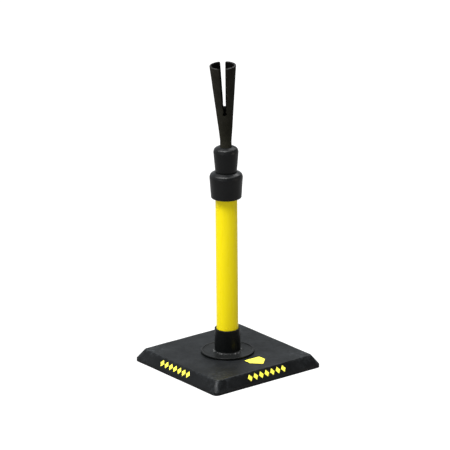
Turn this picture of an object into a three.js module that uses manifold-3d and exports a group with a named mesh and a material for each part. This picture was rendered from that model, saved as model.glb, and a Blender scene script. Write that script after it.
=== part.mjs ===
// Batting tee: a bevelled rubber base with a moulded socket, a telescoping two-tube post
// gripped by a rubber collar, and a flexible, slotted ball rest.
// Millimetres, +Z up. The origin is the centre of the base's underside, and +Y is its back.
import * as THREE from "three";
import { mergeVertices } from "three/addons/utils/BufferGeometryUtils.js";
import Module from "manifold-3d";

const wasm = await Module();
wasm.setup();

// ---------- driving dimensions ----------
const GAP = 0.3; // left between pieces that touch
const ROUND = 48; // sides on the large turned pieces
const ROUND_SMALL = 16; // sides on fasteners and their holes

const BASE_SIDE = 305;
const BASE_HEIGHT = 30;
const BASE_LIP = 7.5; // upright edge under the bevel
const BASE_BEVEL = 15.5; // how far the bevel runs in on each side
const BASE_CORNER_RADIUS = 11;
const RECESS_RADIUS = 60;
const RECESS_DEPTH = 8;

const PLATE_THICKNESS = 3;
const SCREW_CIRCLE_RADIUS = 45;
const SCREW_COUNT = 4;
const SCREW_RADIUS = 2.7;
const SCREW_LENGTH = 20;
const SCREW_HEAD_RADIUS = 5.5;
const SCREW_HEAD_HEIGHT = 3;
const BOSS_RADIUS = 7;

const FLANGE_RADIUS = 61.5;
const FLANGE_EDGE = 4.9; // thickness of the raised rim
const FLANGE_WEB = 3.4; // thickness inside the rim
const SOCKET_TOP_RADIUS = 29.5;
const SOCKET_FOOT_RADIUS = 30;
const SOCKET_TOP_Z = 88.5;
const SOCKET_FLOOR = 6;

const TUBE_RADIUS = 25;
const TUBE_WALL = 2.5;
const TUBE_TOP_Z = 455;
const TUBE_SCREW_Z = 62;
const TUBE_SCREW_RADIUS = 2;
const TUBE_SCREW_HEAD_RADIUS = 4.2;

const INNER_RADIUS = 19;
const INNER_WALL = 2.5;
const INNER_BOTTOM_Z = 92; // with the post pushed right down
const INNER_TOP_Z = 508;
const GROOVE_RADIUS = 17.9;
const GROOVE_LIFT = 5; // groove's height above the tube's end
const GROOVE_WIDTH = 10;
const RING_SPLIT = 3;

const COLLAR_BOTTOM_Z = 401.7;
const COLLAR_BOTTOM_RADIUS = 34.6;
const COLLAR_RADIUS = 38;
const COLLAR_FILLET = 11.5;
const COLLAR_TOP_Z = 462.5;
const BUSH_LENGTH = 22;
const BUSH_FLANGE = 2;

const HEAD_BOTTOM_RADIUS = 24.5;
const HEAD_RADIUS = 28.6;
const HEAD_FILLET = 12;
const HEAD_TOP_Z = 522;
const HEAD_WALL = 5; // thickness of the cap's top
const PLUG_LENGTH = 30;
const PLUG_FLANGE = 3;
const SPIGOT_RADIUS = 7;
const SPIGOT_TOP_Z = 532;
const PIN_RADIUS = 2.5;
const PIN_Z = 492;

const NECK_RADIUS = 13;
const CONE_START_Z = 536; // the neck is straight below this
const REST_FOOT = 5.1; // thickness of the ball rest's trapped foot
const SPLIT_Z = 578; // where the bending neck ends and the cup begins
const RIM_Z = 714.5;
const RIM_RADIUS = 30;
const RIM_WALL = 4;
const CAVITY_FLOOR_Z = 615;
const CAVITY_FLOOR_RADIUS = 10;
const SLOT_TOP_WIDTH = 14.6;
const SLOT_LOW_Z = 638;
const SLOT_LOW_WIDTH = 9.4;
const SLOT_NECK_Z = 611;
const SLOT_NECK_WIDTH = 5.2;
const RELIEF_RADIUS = 4.4; // round hole that ends each slot
const RELIEF_Z = 603.5;
const SLOT_CORE = 9; // half the solid core left between the two relief holes
const REST_TURN_DEG = -37.6; // how the upper post stands turned on the lower one

// ---------- solids ----------
function solidOf(geometry) {
  const bare = geometry.clone();
  bare.deleteAttribute("normal");
  bare.deleteAttribute("uv");
  const merged = mergeVertices(bare, 1e-4);
  const index = merged.index.array;
  const triangles = [];
  for (let i = 0; i < index.length; i += 3) {
    const [a, b, c] = index.slice(i, i + 3);
    if (a !== b && b !== c && c !== a) triangles.push(a, b, c);
  }
  const mesh = new wasm.Mesh({
    numProp: 3,
    vertProperties: merged.attributes.position.array,
    triVerts: new Uint32Array(triangles),
  });
  return new wasm.Manifold(mesh);
}

function geometryOf(solid) {
  const { vertProperties, triVerts } = solid.getMesh();
  const geometry = new THREE.BufferGeometry();
  geometry.setAttribute("position", new THREE.BufferAttribute(vertProperties, 3));
  geometry.setIndex(new THREE.BufferAttribute(triVerts, 1));
  const faceted = geometry.toNonIndexed();
  faceted.computeVertexNormals();
  return faceted;
}

// Turns a profile of [radius, height] points, listed anticlockwise, about Z.
function revolve(profile, sides = ROUND) {
  const points = profile.map(([radius, height]) => new THREE.Vector2(radius, height));
  const onAxis = profile[0][0] === 0 && profile.at(-1)[0] === 0;
  if (!onAxis) points.push(points[0].clone());
  return solidOf(new THREE.LatheGeometry(points, sides).rotateX(Math.PI / 2));
}

function rod(radius, bottom, top, sides = ROUND_SMALL) {
  return revolve([[0, bottom], [radius, bottom], [radius, top], [0, top]], sides);
}

// A rod along +Y, from one y to another, at a height.
function crossRod(radius, from, to, height, sides = ROUND_SMALL) {
  const geometry = new THREE.CylinderGeometry(radius, radius, to - from, sides);
  return solidOf(geometry.translate(0, (from + to) / 2, height));
}

// Points on a quarter round of a profile, from its outer side up to its top.
function shoulder(outerRadius, startHeight, radius, steps = 6) {
  return Array.from({ length: steps + 1 }, (_, i) => {
    const angle = (i / steps) * (Math.PI / 2);
    const inward = radius * (1 - Math.cos(angle));
    return [outerRadius - inward, startHeight + radius * Math.sin(angle)];
  });
}

function aroundCircle(count, radius, make) {
  return Array.from({ length: count }, (_, i) => {
    const angle = ((i + 0.5) / count) * 2 * Math.PI;
    return make(radius * Math.cos(angle), radius * Math.sin(angle), i);
  });
}

function piece(name, solid, material) {
  const mesh = new THREE.Mesh(geometryOf(solid), material);
  mesh.name = name;
  return mesh;
}

function movedRod(x, y, radius, bottom, top) {
  const geometry = new THREE.CylinderGeometry(radius, radius, top - bottom, ROUND_SMALL);
  return solidOf(geometry.rotateX(Math.PI / 2).translate(x, y, (bottom + top) / 2));
}

// ---------- materials ----------
function material(color, roughness, metalness = 0) {
  return new THREE.MeshStandardMaterial({ color, roughness, metalness });
}

const baseRubber = material(0x2a2c2d, 0.75);
const hubPlastic = material(0x191b1c, 0.45);
const collarRubber = material(0x222527, 0.55);
const restRubber = material(0x1d1c19, 0.65);
const yellowTube = material(0xf2dc1c, 0.3);
const blackTube = material(0x17181a, 0.4);
const bearingPlastic = material(0xdcd9cf, 0.5);
const zincSteel = material(0xa9abab, 0.4, 1);

// ---------- base ----------
function roundedSquare(side, radius) {
  const half = side / 2;
  const inner = half - radius;
  const shape = new THREE.Shape();
  shape.moveTo(-inner, -half);
  shape.absarc(inner, -inner, radius, -Math.PI / 2, 0);
  shape.absarc(inner, inner, radius, 0, Math.PI / 2);
  shape.absarc(-inner, inner, radius, Math.PI / 2, Math.PI);
  shape.absarc(-inner, -inner, radius, Math.PI, Math.PI * 1.5);
  return shape;
}

// The slab is a rounded square cut to a four-sided frustum, which leaves the lip and the bevels.
function baseMat() {
  const outline = roundedSquare(BASE_SIDE, BASE_CORNER_RADIUS);
  const block = new THREE.ExtrudeGeometry(outline, {
    depth: BASE_HEIGHT,
    bevelEnabled: false,
    curveSegments: 8,
  });
  const slope = BASE_BEVEL / (BASE_HEIGHT - BASE_LIP);
  const topSide = BASE_SIDE - 2 * BASE_BEVEL;
  const bottomSide = BASE_SIDE + 2 * slope * BASE_LIP;
  const frustum = new THREE.CylinderGeometry(
    topSide / Math.SQRT2,
    bottomSide / Math.SQRT2,
    BASE_HEIGHT,
    4,
  );
  frustum.rotateY(Math.PI / 4).rotateX(Math.PI / 2).translate(0, 0, BASE_HEIGHT / 2);
  const slab = solidOf(block).intersect(solidOf(frustum));
  const recess = rod(RECESS_RADIUS + 0.5, -1, RECESS_DEPTH, ROUND);
  const bossHoles = aroundCircle(SCREW_COUNT, SCREW_CIRCLE_RADIUS, (x, y) =>
    movedRod(x, y, BOSS_RADIUS + GAP, RECESS_DEPTH - 1, BASE_HEIGHT + 1),
  );
  return bossHoles.reduce((mat, hole) => mat.subtract(hole), slab.subtract(recess));
}

const plateTop = RECESS_DEPTH - GAP;
const plateBottom = plateTop - PLATE_THICKNESS;

function backingPlate() {
  const disc = rod(RECESS_RADIUS, plateBottom, plateTop, ROUND);
  const holes = aroundCircle(SCREW_COUNT, SCREW_CIRCLE_RADIUS, (x, y) =>
    movedRod(x, y, SCREW_RADIUS + 0.6, plateBottom - 1, plateTop + 1),
  );
  return holes.reduce((plate, hole) => plate.subtract(hole), disc);
}

// A pan-head screw standing on its head, with a cross recess; its origin is under the head.
function panScrew(radius, length, headRadius, headHeight) {
  const crown = headHeight * 0.45;
  const profile = [
    [0, -headHeight],
    [headRadius * 0.62, -headHeight],
    [headRadius * 0.93, -headHeight + crown * 0.5],
    [headRadius, -headHeight + crown],
    [headRadius, 0],
    [radius, 0],
    [radius, length - radius],
    [radius * 0.4, length],
    [0, length],
  ];
  const body = revolve(profile, ROUND_SMALL);
  const slot = [headRadius * 1.1, headRadius * 0.24, headHeight];
  const first = new THREE.BoxGeometry(...slot).translate(0, 0, -headHeight);
  const second = first.clone().rotateZ(Math.PI / 2);
  return body.subtract(solidOf(first)).subtract(solidOf(second));
}

function baseSocket() {
  const bottom = BASE_HEIGHT + GAP;
  const web = bottom + FLANGE_WEB;
  const edge = bottom + FLANGE_EDGE;
  const bore = TUBE_RADIUS + GAP;
  const profile = [
    [0, bottom],
    [FLANGE_RADIUS, bottom],
    [FLANGE_RADIUS, edge - 0.9],
    [FLANGE_RADIUS - 0.9, edge],
    [FLANGE_RADIUS - 3, edge],
    [FLANGE_RADIUS - 5, web],
    [SOCKET_FOOT_RADIUS + 3.5, web],
    [SOCKET_FOOT_RADIUS + 1.2, web + 1.1],
    [SOCKET_FOOT_RADIUS, web + 3.6],
    [SOCKET_TOP_RADIUS, SOCKET_TOP_Z - 0.8],
    [SOCKET_TOP_RADIUS - 0.8, SOCKET_TOP_Z],
    [bore + 0.6, SOCKET_TOP_Z],
    [bore, SOCKET_TOP_Z - 1.2],
    [bore, bottom + SOCKET_FLOOR],
    [0, bottom + SOCKET_FLOOR],
  ];
  const bosses = aroundCircle(SCREW_COUNT, SCREW_CIRCLE_RADIUS, (x, y) =>
    movedRod(x, y, BOSS_RADIUS, RECESS_DEPTH, bottom + 1),
  );
  const holes = aroundCircle(SCREW_COUNT, SCREW_CIRCLE_RADIUS, (x, y) =>
    movedRod(x, y, SCREW_RADIUS + GAP, RECESS_DEPTH - 1, RECESS_DEPTH + SCREW_LENGTH - 2),
  );
  const whole = bosses.reduce((socket, boss) => socket.add(boss), revolve(profile));
  const drilled = holes.reduce((socket, hole) => socket.subtract(hole), whole);
  return drilled.subtract(tubeScrewHole());
}

function tubeScrewHole() {
  return crossRod(TUBE_SCREW_RADIUS + GAP, INNER_RADIUS, SOCKET_FOOT_RADIUS + 5, TUBE_SCREW_Z);
}

// ---------- lower post ----------
function lowerTube() {
  const bottom = BASE_HEIGHT + GAP + SOCKET_FLOOR + GAP;
  const bore = TUBE_RADIUS - TUBE_WALL;
  const wall = revolve([
    [bore, bottom],
    [TUBE_RADIUS, bottom],
    [TUBE_RADIUS, TUBE_TOP_Z],
    [bore, TUBE_TOP_Z],
  ]);
  return wall.subtract(tubeScrewHole());
}

const bushTop = TUBE_TOP_Z + GAP + BUSH_FLANGE;

// The rubber collar is pushed over the tube's top, and its lip grips the sliding inner tube.
function outerCollar() {
  const bore = TUBE_RADIUS + GAP;
  return revolve([
    [bore, COLLAR_BOTTOM_Z],
    [COLLAR_BOTTOM_RADIUS - 1.2, COLLAR_BOTTOM_Z],
    [COLLAR_BOTTOM_RADIUS, COLLAR_BOTTOM_Z + 1.2],
    ...shoulder(COLLAR_RADIUS, COLLAR_TOP_Z - COLLAR_FILLET, COLLAR_FILLET),
    [INNER_RADIUS + GAP, COLLAR_TOP_Z],
    [INNER_RADIUS + GAP, bushTop + GAP],
    [bore, bushTop + GAP],
  ]);
}

function guideBush() {
  const outer = TUBE_RADIUS - TUBE_WALL - GAP;
  const inner = INNER_RADIUS + GAP;
  return revolve([
    [inner, TUBE_TOP_Z - BUSH_LENGTH],
    [outer, TUBE_TOP_Z - BUSH_LENGTH],
    [outer, TUBE_TOP_Z + GAP],
    [TUBE_RADIUS, TUBE_TOP_Z + GAP],
    [TUBE_RADIUS, bushTop],
    [inner, bushTop],
  ]);
}

// ---------- upper post ----------
const grooveBottom = INNER_BOTTOM_Z + GROOVE_LIFT;
const grooveTop = grooveBottom + GROOVE_WIDTH;

function innerTube() {
  const bore = INNER_RADIUS - INNER_WALL;
  const wall = revolve([
    [bore, INNER_BOTTOM_Z],
    [INNER_RADIUS, INNER_BOTTOM_Z],
    [INNER_RADIUS, grooveBottom],
    [GROOVE_RADIUS, grooveBottom],
    [GROOVE_RADIUS, grooveTop],
    [INNER_RADIUS, grooveTop],
    [INNER_RADIUS, INNER_TOP_Z],
    [bore, INNER_TOP_Z],
  ]);
  return wall.subtract(pinHole());
}

function pinHole() {
  return crossRod(PIN_RADIUS + GAP, -INNER_RADIUS - 1, INNER_RADIUS + 1, PIN_Z);
}

// A split ring sprung into the inner tube's groove. It slides in the outer tube and stops at the bush.
function footRing() {
  const outer = TUBE_RADIUS - TUBE_WALL - GAP;
  const ring = revolve([
    [GROOVE_RADIUS + GAP, grooveBottom + GAP],
    [outer, grooveBottom + GAP],
    [outer, grooveTop - GAP],
    [GROOVE_RADIUS + GAP, grooveTop - GAP],
  ]);
  const split = new THREE.BoxGeometry(RING_SPLIT, outer + 2, GROOVE_WIDTH * 2);
  split.translate(0, outer / 2 + 1, (grooveBottom + grooveTop) / 2);
  return ring.subtract(solidOf(split));
}

const plugFlangeTop = INNER_TOP_Z + GAP + PLUG_FLANGE;

function restPlug() {
  const body = INNER_RADIUS - INNER_WALL - GAP;
  const solid = revolve([
    [0, INNER_TOP_Z - PLUG_LENGTH],
    [body - 1, INNER_TOP_Z - PLUG_LENGTH],
    [body, INNER_TOP_Z - PLUG_LENGTH + 1],
    [body, INNER_TOP_Z + GAP],
    [INNER_RADIUS, INNER_TOP_Z + GAP],
    [INNER_RADIUS, plugFlangeTop],
    [SPIGOT_RADIUS, plugFlangeTop],
    [SPIGOT_RADIUS, SPIGOT_TOP_Z - 2],
    [SPIGOT_RADIUS - 2, SPIGOT_TOP_Z],
    [0, SPIGOT_TOP_Z],
  ], 48);
  return solid.subtract(pinHole());
}

function plugPin() {
  return crossRod(PIN_RADIUS, -INNER_RADIUS + GAP, INNER_RADIUS - GAP, PIN_Z);
}

// The rubber cap on the inner tube traps the foot of the ball rest under its top.
function headCollar() {
  const bottom = COLLAR_TOP_Z + GAP;
  const bore = INNER_RADIUS + GAP;
  return revolve([
    [bore, bottom],
    [HEAD_BOTTOM_RADIUS - 0.8, bottom],
    [HEAD_BOTTOM_RADIUS, bottom + 0.8],
    ...shoulder(HEAD_RADIUS, HEAD_TOP_Z - HEAD_FILLET, HEAD_FILLET),
    [NECK_RADIUS + GAP, HEAD_TOP_Z],
    [NECK_RADIUS + GAP, HEAD_TOP_Z - HEAD_WALL],
    [bore, HEAD_TOP_Z - HEAD_WALL],
  ]);
}

// ---------- ball rest ----------
function coneRadius(height) {
  const slope = (RIM_RADIUS - NECK_RADIUS) / (RIM_Z - CONE_START_Z);
  return NECK_RADIUS + slope * Math.max(0, height - CONE_START_Z);
}

// The part of the ball rest that bends, with the foot that the head collar traps.
function restNeck() {
  const foot = plugFlangeTop + GAP;
  const bore = SPIGOT_RADIUS + GAP;
  return revolve([
    [bore, foot],
    [INNER_RADIUS - GAP, foot],
    [INNER_RADIUS - GAP, foot + REST_FOOT],
    [NECK_RADIUS, foot + REST_FOOT],
    [NECK_RADIUS, CONE_START_Z],
    [coneRadius(SPLIT_Z), SPLIT_Z],
    [0, SPLIT_Z],
    [0, SPIGOT_TOP_Z + GAP],
    [bore, SPIGOT_TOP_Z + GAP],
  ]);
}

// One side's slot: a V down to a narrow neck and a round relief hole, as a block along +Y.
function slotCutter() {
  const neck = SLOT_NECK_WIDTH / 2;
  const above = RIM_Z + 2;
  const meet = Math.asin(neck / RELIEF_RADIUS);
  const shape = new THREE.Shape();
  shape.moveTo(SLOT_TOP_WIDTH / 2, above);
  shape.lineTo(-SLOT_TOP_WIDTH / 2, above);
  shape.lineTo(-SLOT_LOW_WIDTH / 2, SLOT_LOW_Z);
  shape.quadraticCurveTo(-SLOT_LOW_WIDTH / 2.6, SLOT_NECK_Z + 6, -neck, SLOT_NECK_Z);
  shape.absarc(0, RELIEF_Z, RELIEF_RADIUS, Math.PI / 2 + meet, Math.PI * 2.5 - meet);
  shape.lineTo(neck, SLOT_NECK_Z);
  shape.quadraticCurveTo(SLOT_LOW_WIDTH / 2.6, SLOT_NECK_Z + 6, SLOT_LOW_WIDTH / 2, SLOT_LOW_Z);
  const block = new THREE.ExtrudeGeometry(shape, {
    depth: RIM_RADIUS,
    bevelEnabled: false,
    curveSegments: 8,
  });
  return block.rotateX(Math.PI / 2).translate(0, SLOT_CORE + RIM_RADIUS, 0);
}

function restCup() {
  const bottom = SPLIT_Z + GAP;
  const cup = revolve([
    [0, bottom],
    [coneRadius(bottom), bottom],
    [RIM_RADIUS, RIM_Z],
    [RIM_RADIUS - RIM_WALL, RIM_Z],
    [CAVITY_FLOOR_RADIUS, CAVITY_FLOOR_Z],
    [0, CAVITY_FLOOR_Z],
  ]);
  const back = slotCutter();
  const front = back.clone().rotateZ(Math.PI);
  return cup.subtract(solidOf(back)).subtract(solidOf(front));
}

// ---------- assembly ----------
function basePieces() {
  const group = new THREE.Group();
  group.add(piece("base_mat", baseMat(), baseRubber));
  group.add(piece("backing_plate", backingPlate(), zincSteel));
  group.add(piece("base_socket", baseSocket(), hubPlastic));
  const screw = panScrew(SCREW_RADIUS, SCREW_LENGTH, SCREW_HEAD_RADIUS, SCREW_HEAD_HEIGHT);
  aroundCircle(SCREW_COUNT, SCREW_CIRCLE_RADIUS, (x, y, i) => {
    const mesh = piece(`flange_screw_${i + 1}`, screw, zincSteel);
    mesh.position.set(x, y, plateBottom - GAP);
    group.add(mesh);
  });
  return group;
}

function lowerPostPieces() {
  const group = new THREE.Group();
  group.add(piece("lower_tube", lowerTube(), yellowTube));
  group.add(piece("outer_collar", outerCollar(), collarRubber));
  group.add(piece("guide_bush", guideBush(), bearingPlastic));
  const headSeat = SOCKET_FOOT_RADIUS + GAP;
  const tip = INNER_RADIUS + 1;
  const screw = panScrew(TUBE_SCREW_RADIUS, headSeat - tip, TUBE_SCREW_HEAD_RADIUS, 2.6);
  const mesh = piece("tube_screw", screw, zincSteel);
  mesh.position.set(0, headSeat, TUBE_SCREW_Z);
  mesh.rotation.x = Math.PI / 2; // head outward, shank in towards the tube
  group.add(mesh);
  return group;
}

function upperPostPieces() {
  const group = new THREE.Group();
  group.rotation.z = THREE.MathUtils.degToRad(REST_TURN_DEG);
  group.add(piece("foot_ring", footRing(), bearingPlastic));
  group.add(piece("inner_tube", innerTube(), blackTube));
  group.add(piece("rest_plug", restPlug(), bearingPlastic));
  group.add(piece("plug_pin", plugPin(), zincSteel));
  group.add(piece("head_collar", headCollar(), collarRubber));
  group.add(piece("rest_neck", restNeck(), restRubber));
  group.add(piece("rest_cup", restCup(), restRubber));
  return group;
}

const tee = new THREE.Group();
tee.add(basePieces(), lowerPostPieces(), upperPostPieces());

export default tee;
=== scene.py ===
"""Batting tee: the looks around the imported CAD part.

The shape code works in millimetres and scales each mesh to metres at the end. Materials, lights and
the camera work in metres.
"""

import math

import bmesh
import bpy
from mathutils import Matrix, Vector, noise


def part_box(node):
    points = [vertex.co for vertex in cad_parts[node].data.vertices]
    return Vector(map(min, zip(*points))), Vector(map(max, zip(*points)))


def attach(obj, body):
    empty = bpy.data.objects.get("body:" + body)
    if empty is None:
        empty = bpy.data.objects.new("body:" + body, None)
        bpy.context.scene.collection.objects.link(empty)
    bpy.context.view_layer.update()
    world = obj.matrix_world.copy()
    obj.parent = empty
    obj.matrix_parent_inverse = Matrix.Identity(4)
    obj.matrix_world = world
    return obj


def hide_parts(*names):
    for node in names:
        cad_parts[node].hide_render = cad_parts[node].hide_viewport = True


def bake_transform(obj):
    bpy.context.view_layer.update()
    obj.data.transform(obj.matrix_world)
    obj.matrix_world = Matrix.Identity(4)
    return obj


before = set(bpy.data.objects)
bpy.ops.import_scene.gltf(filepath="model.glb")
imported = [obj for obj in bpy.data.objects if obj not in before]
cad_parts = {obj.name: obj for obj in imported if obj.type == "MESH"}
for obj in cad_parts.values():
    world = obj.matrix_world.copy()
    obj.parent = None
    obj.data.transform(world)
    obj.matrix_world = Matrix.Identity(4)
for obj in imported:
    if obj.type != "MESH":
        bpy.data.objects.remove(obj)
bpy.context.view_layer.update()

MM = 0.001
TURN = math.radians(-37.6)  # how the upper post and its slots stand turned
PHOTO_AZIMUTH = math.radians(-37.636)  # where the photo's camera stands, from -Y towards +X


# ---------- sizes in millimetres, from the frame where it has them ----------
def lowest(node):
    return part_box(node)[0].z / MM


def highest(node):
    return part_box(node)[1].z / MM


def half_width(node):
    low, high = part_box(node)
    return (high.x - low.x) / 2 / MM


BASE_HALF = half_width("base_mat")
BASE_TOP = highest("base_mat")
BASE_LIP = 7.5
BASE_BEVEL = 15.5
FOOT_CORNER, TOP_CORNER = 11.0, 7.0
PLATE_RADIUS = half_width("backing_plate")
PLATE_BOTTOM, PLATE_TOP = lowest("backing_plate"), highest("backing_plate")
RECESS_RADIUS = PLATE_RADIUS + 0.5
RECESS_DEPTH = 8.0
TREAD_DEPTH = 1.1
SCREW_CIRCLE = 45.0
BOSS_RADIUS = 7.0
SOCKET_TOP = highest("base_socket")
FLANGE_RADIUS = half_width("base_socket")
BARREL_FOOT_RADIUS, BARREL_TOP_RADIUS = 30.0, 29.5
TUBE_RADIUS = half_width("lower_tube")
TUBE_BOTTOM, TUBE_TOP = lowest("lower_tube"), highest("lower_tube")
TUBE_WALL = 2.5
TUBE_SCREW_HEIGHT = 62.0
TUBE_SCREW_HOLE = 2.3
COLLAR_BOTTOM, COLLAR_TOP = lowest("outer_collar"), highest("outer_collar")
COLLAR_RADIUS = half_width("outer_collar")
BUSH_BOTTOM, BUSH_TOP = lowest("guide_bush"), highest("guide_bush")
INNER_RADIUS = half_width("inner_tube")
INNER_BOTTOM, INNER_TOP = lowest("inner_tube"), highest("inner_tube")
INNER_WALL = 2.5
GROOVE_RADIUS = 17.9
RING_BOTTOM, RING_TOP = lowest("foot_ring"), highest("foot_ring")
PLUG_BOTTOM, PLUG_TOP = lowest("rest_plug"), highest("rest_plug")
PIN_HEIGHT = (lowest("plug_pin") + highest("plug_pin")) / 2
PIN_HOLE = 2.8
SPIGOT_RADIUS = 7.0
HEAD_BOTTOM, HEAD_TOP = lowest("head_collar"), highest("head_collar")
HEAD_RADIUS = half_width("head_collar")
REST_FOOT = lowest("rest_neck")
RIM = highest("rest_cup")
RIM_RADIUS = half_width("rest_cup")
NECK_RADIUS = 13.0
CONE_START = 536.0
GAP = 0.3  # between meshes that touch on the real object


# ---------- mesh helpers ----------
def added(name, data):
    """A new object in the scene."""
    obj = bpy.data.objects.new(name, data)
    bpy.context.scene.collection.objects.link(obj)
    return obj


def filleted(corners, steps=6):
    """Rounds a closed outline's corners. Each corner is (x, y) or (x, y, radius)."""
    points = []
    count = len(corners)
    for i, corner in enumerate(corners):
        here = Vector(corner[:2])
        radius = corner[2] if len(corner) > 2 else 0
        before = Vector(corners[i - 1][:2]) - here
        after = Vector(corners[(i + 1) % count][:2]) - here
        if not radius:
            points.append(here)
            continue
        turn = before.angle(after)
        reach = min(radius / math.tan(turn / 2), before.length * 0.49, after.length * 0.49)
        radius = reach * math.tan(turn / 2)
        bisector = (before.normalized() + after.normalized()).normalized()
        centre = here + bisector * (radius / math.sin(turn / 2))
        start = here + before.normalized() * reach - centre
        sweep = start.angle_signed(here + after.normalized() * reach - centre)
        for step in range(steps + 1):
            angle = -sweep * step / steps
            rotated = Matrix.Rotation(angle, 2) @ start
            points.append(centre + rotated)
    return points


def subdivided(points, longest):
    """Adds points along a closed outline so that no step is longer than asked."""
    result = []
    for i, point in enumerate(points):
        following = points[(i + 1) % len(points)]
        pieces = max(1, math.ceil((following - point).length / longest))
        on_axis = point.x < 1e-6 and following.x < 1e-6
        for k in range(1 if on_axis else pieces):
            result.append(point.lerp(following, k / pieces))
    return result


def finished(name, bm, material, angle=32):
    """Makes an object from a bmesh in millimetres: cleans it, scales it and smooths it."""
    bmesh.ops.remove_doubles(bm, verts=bm.verts, dist=1e-4)
    bmesh.ops.dissolve_degenerate(bm, edges=bm.edges, dist=1e-5)
    outward(bm)
    bmesh.ops.scale(bm, vec=(MM, MM, MM), verts=bm.verts)
    mesh = bpy.data.meshes.new(name)
    bm.to_mesh(mesh)
    bm.free()
    for polygon in mesh.polygons:
        polygon.use_smooth = True
    mesh.set_sharp_from_angle(angle=math.radians(angle))
    mesh.materials.append(material)
    return added(name, mesh)


def bridge(bm, rings):
    """Joins each ring of vertices to the next one with faces. A ring of one vertex makes a fan."""
    for low, high in zip(rings, rings[1:]):
        count = max(len(low), len(high))
        if count == 1:
            continue
        for k in range(count):
            corners = [low[k % len(low)], low[(k + 1) % len(low)]]
            corners += [high[(k + 1) % len(high)], high[k % len(high)]]
            bm.faces.new(list(dict.fromkeys(corners)))


def turned(outline, sides, shape=None):
    """A bmesh of an outline of (radius, height) turned about Z. shape(x, y, z) may move each point."""
    bm = bmesh.new()
    rings = []
    for point in outline:
        if point.x < 1e-6:
            rings.append([bm.verts.new((0, 0, point.y))])
            continue
        ring = []
        for k in range(sides):
            angle = 2 * math.pi * k / sides
            ring.append(bm.verts.new((point.x * math.cos(angle), point.x * math.sin(angle), point.y)))
        rings.append(ring)
    bridge(bm, rings + rings[:1])
    if shape:
        for vert in bm.verts:
            vert.co = Vector(shape(*vert.co))
    return bm


def uneven(point, size, depth, seed):
    """A smooth random height, at most about depth, that changes over about size millimetres."""
    return depth * noise.noise(Vector(point) / size + Vector((seed * 7.3, seed * 3.1, seed * 5.7)))


def moulded(seed, depth, seam, seam_angle):
    """Moves a moulded piece's surface in and out a little and raises its two mould seams."""

    def shape(x, y, z):
        radius = math.hypot(x, y)
        if radius < 1e-6:
            return x, y, z
        out = uneven((x, y, z), 22, depth, seed)
        across = radius * abs(math.sin(math.atan2(y, x) - seam_angle))
        out += seam * max(0.0, 1 - across / 0.9) ** 1.5
        scale = 1 + out / radius
        return x * scale, y * scale, z

    return shape


def object_from(bm, name):
    """A plain object in millimetres, for the boolean modifiers."""
    mesh = bpy.data.meshes.new(name)
    bm.to_mesh(mesh)
    bm.free()
    return added(name, mesh)


def outward(bm):
    """Turns every face of a closed bmesh outward."""
    bmesh.ops.recalc_face_normals(bm, faces=bm.faces)
    if bm.calc_volume(signed=True) < 0:
        bmesh.ops.reverse_faces(bm, faces=bm.faces)
    return bm


def combined(bm, tools, operation):
    """Cuts closed bmeshes from a closed bmesh, or joins them to it, one after the other."""
    body = object_from(outward(bm), "body")
    for tool_bm in tools:
        tool = object_from(outward(tool_bm), "tool")
        modifier = body.modifiers.new("combine", "BOOLEAN")
        modifier.operation = operation
        modifier.solver = "MANIFOLD"
        modifier.object = tool
        evaluated = body.evaluated_get(bpy.context.evaluated_depsgraph_get())
        mesh = bpy.data.meshes.new_from_object(evaluated)
        body.modifiers.clear()
        body.data = mesh
        bpy.data.objects.remove(tool)
    result = bmesh.new()
    result.from_mesh(body.data)
    bpy.data.objects.remove(body)
    return result


def cut(bm, cutters):
    return combined(bm, cutters, "DIFFERENCE")


def joined(bm, parts):
    return combined(bm, parts, "UNION")


def moved(bm, x=0.0, y=0.0, z=0.0, matrix=None):
    """Applies the matrix to a bmesh and then shifts it."""
    if matrix:
        bmesh.ops.transform(bm, matrix=matrix, verts=bm.verts)
    bmesh.ops.translate(bm, vec=(x, y, z), verts=bm.verts)
    return bm


def peg(radius, bottom, top, sides):
    """A bmesh of a plain round bar along Z."""
    return turned(filleted([(0, bottom), (radius, bottom), (radius, top), (0, top)]), sides)


def box_cutter(matrix, **place):
    """A two millimetre cube, stretched and turned by the matrix and then moved to its place."""
    bm = bmesh.new()
    bmesh.ops.create_cube(bm, size=2)
    return moved(bm, matrix=matrix, **place)


def screw_places():
    """Number, x and y of the four flange screws."""
    for i in range(4):
        angle = math.radians(45 + 90 * i)
        yield i + 1, SCREW_CIRCLE * math.cos(angle), SCREW_CIRCLE * math.sin(angle)


# ---------- materials ----------
EXTRUDED = (1, 1, 0.15)  # stretches a texture along the tube


class Tree:
    """A node tree, with a short way to add and join nodes."""

    def __init__(self, tree):
        self.tree = tree

    def add(self, kind, inputs=None, **settings):
        node = self.tree.nodes.new(kind)
        for key, value in settings.items():
            setattr(node, key, value)
        for key, value in (inputs or {}).items():
            if isinstance(value, bpy.types.NodeSocket):
                self.tree.links.new(value, node.inputs[key])
            else:
                node.inputs[key].default_value = value
        return node


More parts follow.
